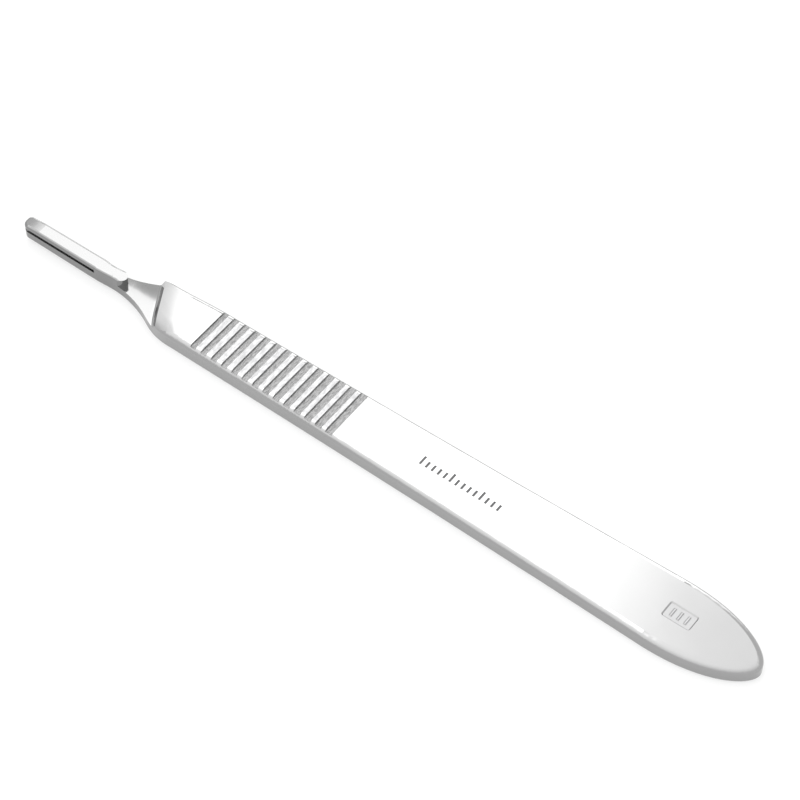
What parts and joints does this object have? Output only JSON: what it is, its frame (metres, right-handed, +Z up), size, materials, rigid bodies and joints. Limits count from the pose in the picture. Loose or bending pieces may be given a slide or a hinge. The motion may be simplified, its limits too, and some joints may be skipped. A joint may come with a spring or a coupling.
{
  "type": "scalpel handle",
  "caption": "Flat steel scalpel handle with a grooved finger grip, a round rear end and a slim tang that takes a slide-on surgical blade.",
  "frame": {"origin": "middle of the handle's length and width, on the plane of its underside", "axes": "+X along the handle to its rear end, +Z up out of the face that the blade is seated on, -Z out of the underside"},
  "size_m": [0.125, 0.011, 0.0034],
  "materials": {
    "steel": "satin"
  },
  "bodies": {
    "root": {"scalpel_handle": "steel"}
  },
  "joints": []
}
